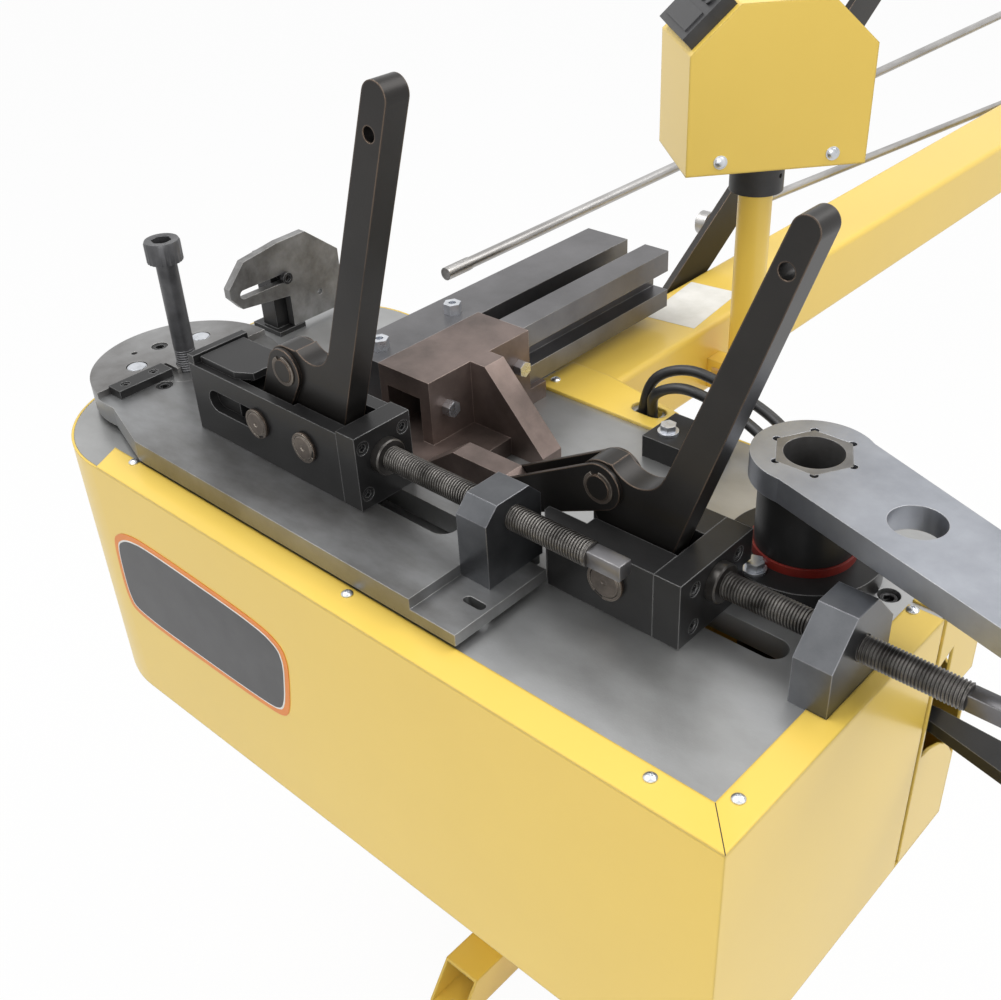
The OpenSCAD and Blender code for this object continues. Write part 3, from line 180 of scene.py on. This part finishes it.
MATERIALS = {
    "yellow": material("yellow_paint", (0.76, 0.53, 0.09), (0.82, 0.58, 0.105), scale=3, rough=(0.3, 0.4),
                       bump=0.06, grain=900, bevel=0.004, coat=0.2, contrast=0.6),
    "bed": material("bed_steel", (0.3, 0.3, 0.293), (0.47, 0.475, 0.48), scale=5, rough=(0.28, 0.44),
                    bump=0.12, grain=420, bevel=0.0006, metal=0.8, contrast=0.5, stretch=(1, 1.6, 1),
                    speck=0.04),
    "arm": material("swing_arm_steel", (0.12, 0.116, 0.11), (0.29, 0.295, 0.3), scale=7, rough=(0.28, 0.44),
                    bump=0.12, grain=420, bevel=0.0009, metal=0.8, contrast=0.5, stretch=(1, 2.2, 1),
                    speck=0.05, edge=(0.5, 0.49, 0.47)),
    "die": material("die_plate_steel", (0.14, 0.135, 0.13), (0.3, 0.3, 0.3), scale=9, rough=(0.28, 0.46),
                    bump=0.12, grain=420, bevel=0.0009, metal=0.75, speck=0.05, edge=(0.5, 0.49, 0.47)),
    "tslot": material("tslot_steel", (0.09, 0.088, 0.09), (0.22, 0.216, 0.224), scale=8, rough=(0.28, 0.42),
                      bump=0.1, grain=520, bevel=0.0009, metal=0.85, contrast=0.6, edge=(0.45, 0.44, 0.43)),
    "nut": material("nut_block_oxide", (0.05, 0.052, 0.056), (0.15, 0.155, 0.165), scale=10,
                    rough=(0.26, 0.38), bump=0.08, grain=520, bevel=0.0012, metal=0.85, contrast=0.6,
                    edge=(0.4, 0.4, 0.42)),
    "black": material("black_oxide", (0.01, 0.01, 0.0105), (0.028, 0.0275, 0.0275), scale=12,
                      rough=(0.28, 0.42), bump=0.1, grain=520, bevel=0.001, metal=0.35, spec=0.3,
                      contrast=0.7, speck=0.02, edge=(0.36, 0.36, 0.36), edge_mix=0.95),
    "brown": material("brown_oxide", (0.016, 0.0152, 0.0148), (0.038, 0.035, 0.0325), scale=8,
                      rough=(0.3, 0.42), bump=0.1, grain=520, bevel=0.0014, metal=0.7, contrast=0.8,
                      speck=0.02, edge=(0.3, 0.21, 0.15), edge_mix=0.95),
    "bracket": material("bracket_oxide", (0.08, 0.06, 0.052), (0.2, 0.152, 0.135), scale=10,
                        rough=(0.3, 0.48), bump=0.1, grain=480, bevel=0.001, metal=0.7, speck=0.05,
                        edge=(0.4, 0.32, 0.28), edge_mix=0.8),
    "hub": material("hub_arm_steel", (0.2, 0.21, 0.235), (0.36, 0.375, 0.41), scale=6, rough=(0.3, 0.42),
                    bump=0.08, grain=500, bevel=0.001, metal=0.85, speck=0.03, edge=(0.5, 0.5, 0.5),
                    edge_mix=0.8),
    "wiper": material("wiper_steel", (0.1, 0.095, 0.09), (0.3, 0.3, 0.3), scale=26, rough=(0.28, 0.5),
                      bump=0.12, grain=420, bevel=0.0009, metal=0.75, contrast=0.45, edge=(0.5, 0.49, 0.47)),
    "orange": material("plate_orange", (0.7, 0.2, 0.02), (0.78, 0.25, 0.03), scale=30, rough=(0.35, 0.45),
                       bump=0.04, grain=900, bevel=0.0005),
    "pale": material("plate_rim", (0.7, 0.69, 0.64), (0.82, 0.81, 0.77), scale=30, rough=(0.35, 0.45),
                     bump=0.04, grain=900, bevel=0.0005),
    "zinc": material("zinc_plate", (0.5, 0.52, 0.55), (0.72, 0.74, 0.78), scale=60, rough=(0.2, 0.38),
                     bump=0.08, grain=900, bevel=0.0006, metal=0.95),
    "rod": material("bare_steel", (0.3, 0.29, 0.28), (0.5, 0.49, 0.48), scale=40, rough=(0.26, 0.46),
                    bump=0.12, grain=800, bevel=0.0006, metal=0.9, stretch=(1, 0.15, 1)),
    "pin": material("pin_steel", (0.07, 0.058, 0.05), (0.15, 0.125, 0.105), scale=40, rough=(0.28, 0.45),
                    bump=0.1, grain=700, bevel=0.0006, metal=0.6, edge=(0.5, 0.46, 0.4)),
    "bolt": material("bolt_steel", (0.05, 0.05, 0.053), (0.11, 0.11, 0.115), scale=24, rough=(0.3, 0.46),
                     bump=0.1, grain=700, bevel=0.0004, metal=0.5, edge=(0.4, 0.4, 0.41), edge_mix=0.7),
    "screw": material("screw_steel", (0.028, 0.026, 0.024), (0.09, 0.084, 0.079), scale=30,
                      rough=(0.26, 0.42), bump=0.1, grain=700, bevel=0.0003, metal=0.75,
                      edge=(0.45, 0.43, 0.4)),
    "red": material("red_seal", (0.13, 0.008, 0.005), (0.24, 0.02, 0.012), scale=40, rough=(0.3, 0.5),
                    bump=0.1, grain=600, bevel=0.0006),
    "rubber": material("black_rubber", (0.008, 0.008, 0.008), (0.02, 0.02, 0.021), scale=60,
                       rough=(0.35, 0.5), bump=0.1, grain=900, bevel=0.0004),
    "plastic": material("black_plastic", (0.012, 0.012, 0.013), (0.028, 0.028, 0.03), scale=30,
                        rough=(0.38, 0.52), bump=0.15, grain=1200, bevel=0.0008),
    "label": material("blank_plate", (0.03, 0.03, 0.031), (0.06, 0.06, 0.062), scale=20, rough=(0.3, 0.45),
                      bump=0.05, grain=900, bevel=0.0005, metal=0.1),
    "grey": material("motor_grey", (0.12, 0.12, 0.12), (0.2, 0.2, 0.2), scale=14, rough=(0.4, 0.55),
                     bump=0.1, grain=500, bevel=0.001, metal=0.2),
}
USE = {
    "yellow": "cabinet_shell rear_panel bed_lips pedestal floor_feet beam beam_foot_plate rear_leg post "
              "control_box",
    "zinc": "pan_screws hex_bolts bracket_nuts dowel_pins",
    "hub": "upper_arm",
    "die": "die_plate hub_spindle",
    "tslot": "tslot_block",
    "nut": "nut_block_press nut_block_clamp",
    "wiper": "wiper_plate",
    "bed": "bed_plate thrust_ring",
    "arm": "swing_arm head_spindle",
    "rod": "mandrel_rod link_rod",
    "grey": "pump_motor",
    "black": "stop_block hub_flange wiper_foot actuator actuator_cover oil_tank lower_arm "
             "key_bar head_screws draw_bolt clamp_housing clamp_end_plate clamp_end_screws "
             "clamp_screw clamp_jaw press_housing press_end_plate press_screw die_slide wiper_screw "
             "carriage",
    "brown": "clamp_lever clamp_link press_lever press_link hand_lever",
    "bracket": "push_bracket",
    "red": "seal_ring",
    "rubber": "cable_a cable_b",
    "plastic": "keypad post_collar",
}
for key, names in USE.items():
    for name in names.split():
        o = nodes[name]
        o.data.materials.clear()
        o.data.materials.append(MATERIALS[key])

# Points closer than this are one point, in metres
MERGE = 1e-6
# Edges that turn by more than this are bevelled, and faces that turn by less shade as one
BEVEL_OVER, SMOOTH_UNDER = 0.5, radians(35)
BEVEL_SEGMENTS = 2
# Where the crest of a thread starts and ends and where its root starts, as shares of the pitch
CREST_FROM, CREST_TO, ROOT_FROM = 0.38, 0.52, 0.9
# Sides of pin ends and the draw bolt, of snap rings and of socket heads
FINE_SIDES, RING_SIDES, HEAD_SIDES = 40, 36, 48
RING_GAP = radians(34)


def piece(name, shape, body, mat, smooth=True, bevel=0.0):
    """A mesh that rides on a body. shape is its vertices and faces."""
    verts, faces = shape
    mesh = bpy.data.meshes.new(name)
    mesh.from_pydata([tuple(v) for v in verts], [], faces)
    bm = bmesh.new()
    bm.from_mesh(mesh)
    bmesh.ops.remove_doubles(bm, verts=bm.verts, dist=MERGE)
    bmesh.ops.recalc_face_normals(bm, faces=bm.faces)
    if bevel:
        sharp = [e for e in bm.edges if len(e.link_faces) == 2 and e.calc_face_angle() > BEVEL_OVER]
        bmesh.ops.bevel(bm, geom=sharp, offset=bevel, segments=BEVEL_SEGMENTS, affect="EDGES", profile=0.5)
    bm.to_mesh(mesh)
    bm.free()
    mesh.materials.append(MATERIALS[mat])
    if smooth:
        mesh.shade_smooth()
        mesh.set_sharp_from_angle(angle=SMOOTH_UNDER)
    o = placed(name, mesh)
    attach(o, body)
    return o


def axes_for(direction):
    """A direction of length one and two others square to it."""
    d = Vector(direction).normalized()
    u = d.orthogonal().normalized()
    return d, u, d.cross(u)


def turned(origin, axes, r, a, h):
    """The point at radius r and height h in mm and at angle a about an axis."""
    d, u, v = axes
    return origin + d * h / MM + (u * cos(a) + v * sin(a)) * r / MM


def lathe(profile, origin, direction, segs=32):
    """Vertices and faces of a closed turned shape. profile is (radius, height) in mm."""
    axes = axes_for(direction)
    verts, faces = [], []
    for r, h in profile:
        verts += [turned(origin, axes, r, tau * k / segs, h) for k in range(segs)]
    for i in range(len(profile) - 1):
        for k in range(segs):
            b = (k + 1) % segs
            faces.append((i * segs + k, i * segs + b, (i + 1) * segs + b, (i + 1) * segs + k))
    faces.append(tuple(range(segs - 1, -1, -1)))
    faces.append(tuple(range((len(profile) - 1) * segs, len(profile) * segs)))
    return verts, faces


def join(*parts):
    """Several shapes as one."""
    verts, faces = [], []
    for v, f in parts:
        n = len(verts)
        verts += list(v)
        faces += [tuple(i + n for i in face) for face in f]
    return verts, faces


def box(lo, hi):
    """Vertices and faces of a box between two points."""
    x0, y0, z0 = lo
    x1, y1, z1 = hi
    verts = [Vector(p) for p in ((x0, y0, z0), (x1, y0, z0), (x1, y1, z0), (x0, y1, z0),
                                 (x0, y0, z1), (x1, y0, z1), (x1, y1, z1), (x0, y1, z1))]
    return verts, [(3, 2, 1, 0), (4, 5, 6, 7), (0, 1, 5, 4), (1, 2, 6, 5), (2, 3, 7, 6), (3, 0, 4, 7)]


def thread(origin, direction, r_out, r_in, pitch, length, segs=28):
    """A helical V thread along direction, sizes in mm."""
    axes = axes_for(direction)
    corners = ((0.0, r_in), (CREST_FROM, r_out), (CREST_TO, r_out), (ROOT_FROM, r_in))
    n = len(corners)
    total = (int(length / pitch) - 1) * segs
    verts, faces = [], []
    for j in range(total + 1):
        a = tau * (j % segs) / segs
        verts += [turned(origin, axes, r, a, (j / segs + off) * pitch) for off, r in corners]
    for j in range(total):
        for c in range(n - 1):
            p, q = j * n + c, (j + 1) * n + c
            faces.append((p, q, q + 1, p + 1))
        if j + segs + 1 <= total:
            faces.append((j * n + n - 1, (j + 1) * n + n - 1, (j + 1 + segs) * n, (j + segs) * n))
    return verts, faces


def ring_clip(origin, direction, r, w, h, start):
    """A flat snap ring with a gap, of outer radius r, width w and height h in mm."""
    axes = axes_for(direction)
    corners = ((r - w, 0), (r, 0), (r, h), (r - w, h))
    n = len(corners)
    verts, faces = [], []
    for k in range(RING_SIDES + 1):
        a = start + RING_GAP / 2 + (tau - RING_GAP) * k / RING_SIDES
        verts += [turned(origin, axes, rr, a, hh) for rr, hh in corners]
    for k in range(RING_SIDES):
        for c in range(n):
            b = (c + 1) % n
            faces.append((k * n + c, (k + 1) * n + c, (k + 1) * n + b, k * n + b))
    last = RING_SIDES * n
    faces.append((0, 1, 2, 3))
    faces.append((last + 3, last + 2, last + 1, last))
    return verts, faces


def cap_head(origin, direction, r, h, socket=0.55, knurl=0):
    """Socket head with its hexagon, from the seat up. Sizes in mm."""
    axes = axes_for(direction)
    verts, faces = [], []

    def ring(rad, hh, hexed=False, ridged=False):
        start = len(verts)
        for k in range(HEAD_SIDES):
            a = tau * k / HEAD_SIDES
            rr = rad
            if hexed:
                rr = rad / cos((a % (pi / 3)) - pi / 6)
            if ridged and k % 2:
                rr -= knurl
            verts.append(turned(origin, axes, rr, a, hh))
        return start

    hexagon = r * socket
    shoulder, crown = h * 0.9, r * 0.93
    mouth, lead_in, bottom = hexagon * 1.2, h - 0.6, h * 0.45
    rows = [ring(r, 0, ridged=True), ring(r, shoulder, ridged=True), ring(crown, h), ring(mouth, h),
            ring(hexagon, lead_in, hexed=True), ring(hexagon, bottom, hexed=True)]
    for a, b in zip(rows, rows[1:]):
        for k in range(HEAD_SIDES):
            e = (k + 1) % HEAD_SIDES
            faces.append((a + k, a + e, b + e, b + k))
    faces.append(tuple(range(rows[0] + HEAD_SIDES - 1, rows[0] - 1, -1)))
    faces.append(tuple(range(rows[-1], rows[-1] + HEAD_SIDES)))
    return verts, faces


# Cables on the routes of their CAD solids, with the radius in metres
CABLE_R = 0.0063
CABLE_STEPS, CABLE_ROUNDNESS = 8, 4
CABLES = {
    "cable_a": [(476.6, 306, -60), (476.6, 306, 0), (488, 314, 44), (530, 326, 62), (590, 334, 48),
                (640, 330, 34), (674, 312, 24), (684, 296, 0), (684, 296, -60)],
    "cable_b": [(493.2, 301.9, -60), (493.2, 301.9, 0), (500, 298, 34), (536, 304, 50), (590, 312, 38),
                (640, 302, 28), (684, 286, 14), (695.2, 284.8, -6), (695.2, 284.8, -60)],
}


def curve(a, b, c, d, t):
    """A point between b and c on the smooth curve through four points."""
    square = 2 * a - 5 * b + 4 * c - d
    cube = 3 * b - a - 3 * c + d
    return 0.5 * (2 * b + (c - a) * t + square * t * t + cube * t ** 3)


def cable(node, route):
    """A round cable that stands for its CAD node."""
    name = node + "_run"
    pts = [at(*p) for p in route]
    path = []
    for i in range(len(pts) - 1):
        a, b = pts[max(i - 1, 0)], pts[i]
        c, d = pts[i + 1], pts[min(i + 2, len(pts) - 1)]
        path += [curve(a, b, c, d, j / CABLE_STEPS) for j in range(CABLE_STEPS)]
    path.append(pts[-1])
    data = bpy.data.curves.new(name, "CURVE")
    data.dimensions = "3D"
    data.bevel_depth = CABLE_R
    data.bevel_resolution = CABLE_ROUNDNESS
    data.use_fill_caps = True
    spline = data.splines.new("POLY")
    spline.points.add(len(path) - 1)
    for p, q in zip(spline.points, path):
        p.co = (*q, 1)
    data.materials.append(MATERIALS["rubber"])
    o = placed(name, data)
    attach(o, "frame")
    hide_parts(node)


for name, route in CABLES.items():
    cable(name, route)

# Lead screws with their real threads: an inch thick, eight threads to the inch
SCREW_R, ROOT_R, CORE_R, PITCH = 12.7, 10.7, 11.0, 3.175
CLAMP_Y, CLAMP_Z = -39.5, 83
PRESS_Y, PRESS_Z = 40, 46
INNER_R, INNER_CHAMFER = 17.2, 1.2
OUTER_COLLAR = [(19.7, 0), (19.7, 8.5), (18.5, 9.8), (13.2, 10)]
SCREW_TIP = [(12.2, 0), (11.6, 2), (9.5, 3)]
# Play between a collar and the end plate, where the thread starts from that plate, and what it leaves free
PLAY, THREAD_AT, THREAD_FREE = 0.3, 9, 8
# Square drive: half its side, its length, its lap into the screw, and the rounding of its edges in metres
DRIVE, DRIVE_LENGTH, DRIVE_LAP, DRIVE_BEVEL = 8.5, 37, 1, 0.0016


def lead_screw(name, body, start, plate, far, end, y, z):
    """A screw from start to end along X, through an end plate that lies between plate and far."""
    core = lathe([(CORE_R, 0), (CORE_R, end - start - DRIVE_LAP)], at(start, y, z), X)
    inner = lathe([(INNER_R - INNER_CHAMFER, 0), (INNER_R, INNER_CHAMFER), (INNER_R, plate - PLAY - start)],
                  at(start, y, z), X)
    outer = lathe(OUTER_COLLAR, at(far + PLAY, y, z), X)
    turns = thread(at(far + THREAD_AT, y, z), X, SCREW_R, ROOT_R, PITCH, end - far - THREAD_FREE)
    tip = lathe(SCREW_TIP, at(end - SCREW_TIP[-1][1], y, z), X)
    o = piece(name + "_thread", join(core, inner, outer, turns, tip), body, "screw")
    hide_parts(name)
    drive = box(at(end - DRIVE_LAP, y - DRIVE, z - DRIVE), at(end + DRIVE_LENGTH, y + DRIVE, z + DRIVE))
    piece(name + "_drive", drive, body, "tslot", bevel=DRIVE_BEVEL)


lead_screw("clamp_screw", "clamp_screw_b", start=374, plate=384, far=411, end=680, y=CLAMP_Y, z=CLAMP_Z)
lead_screw("press_screw", "press_screw_b", start=721, plate=730, far=759, end=997, y=PRESS_Y, z=PRESS_Z)

# Socket screws of the pressure unit's end plate
END_SEAT_X = 750.2
END_SCREWS = ((-34, 14), (34, 14), (-34, 56), (34, 56))
for k, (dy, z) in enumerate(END_SCREWS):
    head = cap_head(at(END_SEAT_X, PRESS_Y + dy, z), X, r=7, h=8)
    piece("press_end_screw_%d" % k, head, "press_unit", "black")

# Pin ends with a chamfer and a centre hole, and snap rings, in mm
PIN_RIM, PIN_FACE, PIN_CHAMFER = 0.7, 1.5, 1.1
CENTRE_HOLE = [(3.2, PIN_FACE), (2.6, 0.6)]
RING_H, RING_PLAY = 1.1, 0.5
# Rings on the upper pins of the links: body and place, this far in front of the unit's middle
CLIP_OUT = 18.6
CLIPS = {
    "clamp": ("clamp_link_b", at(286.5, CLAMP_Y - CLIP_OUT, 145.5)),
    "press": ("press_link_b", at(638, PRESS_Y - CLIP_OUT, 105.6)),
}


def pin_end(name, body, origin, r, ring_r, start):
    """The front end of a pin of radius r in its snap ring."""
    profile = [(r, 0), (r, PIN_RIM), (r - PIN_CHAMFER, PIN_FACE)] + CENTRE_HOLE
    end = lathe(profile, origin, -Y, FINE_SIDES)
    ring = ring_clip(origin, -Y, ring_r, ring_r - r - RING_PLAY, RING_H, start)
    piece(name, join(end, ring), body, "pin")


pin_end("pin_end_clamp_pivot", "clamp_lever_b", at(331, -80.3, 80), r=13.6, ring_r=16.8, start=2.2)
pin_end("pin_end_clamp_slide", "clamp_link_b", at(253, -80.3, 80), r=13.6, ring_r=16.8, start=1.2)
pin_end("pin_end_press_pivot", "press_lever_b", at(678, -19.8, 40), r=16.4, ring_r=19.6, start=0.4)
for name, (body, origin) in CLIPS.items():
    clip = ring_clip(origin, -Y, r=16.6, w=3.4, h=1.5, start=4.2)
    piece("clip_%s_link" % name, clip, body, "pin")

# Draw bolt with its knurled head and the thread near its foot
BOLT_SHANK = [(12.4, -16), (12.4, 60), (12.7, 61), (12.7, 176)]
head = cap_head(at(0, 0, 175), Z, r=21.5, h=26, socket=0.5, knurl=0.9)
shank = lathe(BOLT_SHANK, at(0, 0, 0), Z, FINE_SIDES)
turns = thread(at(0, 0, 30), Z, r_out=12.9, r_in=11.4, pitch=3.2, length=32)
bolt = piece("draw_bolt_full", join(head, shank, turns), "swing", "bolt")
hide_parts("draw_bolt")

# Threaded end of the mandrel rod
turns = thread(at(125, 337, 72), Y, r_out=9.0, r_in=7.6, pitch=1.8, length=43, segs=20)
piece("mandrel_thread", turns, "mandrel", "rod")

# Pan screws on the control box, which stands turned on its post; face and height in metres
BOX_TURN = radians(48.9)
BOX_FACE, BOX_SCREW_Z = 0.0695, 0.255
PAN_R, PAN_H = 6.5, 3.6
PAN_HEAD = [(PAN_R * 1.25, 0), (PAN_R * 1.25, 0.8), (PAN_R, 0.9), (PAN_R * 0.95, PAN_H * 0.55),
            (PAN_R * 0.7, PAN_H * 0.88), (PAN_R * 0.3, PAN_H)]
along = Vector((cos(BOX_TURN), sin(BOX_TURN), 0))
inward = Vector((-sin(BOX_TURN), cos(BOX_TURN), 0))
post_at = at(457, 553, 0)
for k, dx in enumerate((-66, 66)):
    seat = post_at + along * dx / MM - inward * BOX_FACE + Z * BOX_SCREW_Z
    piece("box_screw_%d" % k, lathe(PAN_HEAD, seat, -inward), "control", "zinc")

# Socket screw sunk in the bed beside the hub
piece("bed_screw", cap_head(at(864, 172, -13), Z, r=8.5, h=10), "frame", "black")

# Blank name plate on the front of the cabinet, drawn in X and Z, and its back face
PLATE = [(60, -100), (85, -82), (127, -74), (350, -81), (389, -101), (372, -199), (345, -212), (67, -213),
         (56, -180)]
PLATE_BACK = -181.0
# Each layer's name, how far it is drawn in, its front face, its material and its slot
LAYERS = (
    ("plate_border", 0, -181.8, "orange", "yellow_paint"),
    ("plate_rim", 7, -182.1, "pale", "zinc"),
    ("plate_field", 9, -182.4, "label", "black_oxide"),
)
# How often the corners of the plate are cut, and how much of each side a cut takes
CUTS, CUT = 3, 0.2
# Blank label on the beam, and the seam where the two lips meet, drawn in X and Y
LABEL = [(308.8, 641), (382.2, 650), (398, 521), (324.6, 512)]
SEAM = [(885, -143.6), (919.6, -181), (920, -180.2), (885.6, -143)]


def rounded(points):
    """A closed outline with its corners cut a few times."""
    for _ in range(CUTS):
        new = []
        for i, (px, pz) in enumerate(points):
            qx, qz = points[(i + 1) % len(points)]
            new.append((px * (1 - CUT) + qx * CUT, pz * (1 - CUT) + qz * CUT))
            new.append((px * CUT + qx * (1 - CUT), pz * CUT + qz * (1 - CUT)))
        points = new
    return points


def drawn_in(points, d):
    """The outline made smaller by about d mm on each side."""
    xs, zs = zip(*points)
    x0, x1, z0, z1 = min(xs), max(xs), min(zs), max(zs)
    mx, mz = (x0 + x1) / 2, (z0 + z1) / 2
    kx, kz = 1 - 2 * d / (x1 - x0), 1 - 2 * d / (z1 - z0)
    return [(mx + (x - mx) * kx, mz + (z - mz) * kz) for x, z in points]


def prism(low, high):
    """Vertices and faces between two outlines that have as many points."""
    n = len(low)
    faces = [tuple(range(n)), tuple(range(2 * n - 1, n - 1, -1))]
    faces += [(i, (i + 1) % n, n + (i + 1) % n, n + i) for i in range(n)]
    return low + high, faces


def upright(points, y0, y1):
    """A thin plate drawn in X and Z."""
    return prism([at(x, y0, z) for x, z in points], [at(x, y1, z) for x, z in points])


def flat(points, z0, z1):
    """A thin plate drawn in X and Y."""
    return prism([at(x, y, z0) for x, y in points], [at(x, y, z1) for x, y in points])


outline = rounded(PLATE)
for name, d, front, mat, slot in LAYERS:
    piece(name, upright(drawn_in(outline, d), front, PLATE_BACK), "frame", mat, smooth=False)
piece("beam_label", flat(LABEL, z0=0.0, z1=0.4), "frame", "pale", smooth=False)
piece("lip_seam", flat(SEAM, z0=1.9, z1=2.12), "frame", "rubber", smooth=False)

# Floor, backdrop and light
WHITE, FLOOR_GREY = (1, 1, 1, 1), (0.86, 0.86, 0.86, 1)
# How much of the floor is seen as plain white, half its side in metres, and the strength of the world's light
FLOOR_WHITE, FLOOR_HALF, AMBIENT = 0.96, 30, 0.45
# Each lamp's place from the aim and its size in metres, and its power in watts
LAMPS = {
    "key": ((-1.0, -0.8, 2.6), (2.4, 1.8), 55),
    "top": ((1.4, 1.4, 2.8), (3.0, 2.4), 80),
    "front": ((2.2, -2.4, 1.0), (2.0, 1.6), 36),
}


def seen_white(tree):
    """One for camera, glossy and transmission rays."""
    rays = add(tree, "LightPath", {}).outputs
    out = rays["Is Camera Ray"]
    for ray in ("Is Glossy Ray", "Is Transmission Ray"):
        out = paired(tree, "Math", "MAXIMUM", out, rays[ray])
    return out


def stage_material():
    """A floor that is seen as white and still takes the object's shadow."""
    surface = bpy.data.materials.new("studio_floor")
    surface.use_nodes = True
    tree = surface.node_tree
    link = tree.links.new
    tree.nodes.clear()
    matt = add(tree, "BsdfDiffuse", {"Color": FLOOR_GREY})
    glow = add(tree, "Emission", {"Color": WHITE, "Strength": 1.0})
    mix = add(tree, "MixShader", {})
    out = add(tree, "OutputMaterial", {})
    link(ranged(tree, seen_white(tree), {"To Max": FLOOR_WHITE}), mix.inputs[0])
    link(matt.outputs[0], mix.inputs[1])
    link(glow.outputs[0], mix.inputs[2])
    link(mix.outputs[0], out.inputs["Surface"])
    return surface


def area(name, place, aim, size, power):
    """A lamp at a place that shines at the aim."""
    lamp = bpy.data.lights.new(name, "AREA")
    lamp.shape = "RECTANGLE"
    lamp.size, lamp.size_y = size
    lamp.energy = power
    o = placed(name, lamp)
    o.location = place
    o.rotation_euler = (aim - place).to_track_quat("-Z", "Y").to_euler()


corners = [(sx * FLOOR_HALF, sy * FLOOR_HALF, 0) for sx, sy in ((-1, -1), (1, -1), (1, 1), (-1, 1))]
floor_mesh = bpy.data.meshes.new("floor")
floor_mesh.from_pydata(corners, [], [(0, 1, 2, 3)])
floor_mesh.materials.append(stage_material())
floor = placed("floor", floor_mesh)

world = bpy.data.worlds.new("studio")
bpy.context.scene.world = world
world.use_nodes = True
sky = world.node_tree
background = sky.nodes["Background"]
background.inputs["Color"].default_value = WHITE
sky.links.new(ranged(sky, seen_white(sky), {"To Min": AMBIENT, "To Max": 1.0}), background.inputs["Strength"])

aim = at(400, 100, 0)
for name, (offset, size, power) in LAMPS.items():
    area(name, aim + Vector(offset), aim, size, power)

bpy.context.scene.view_settings.view_transform = "Standard"
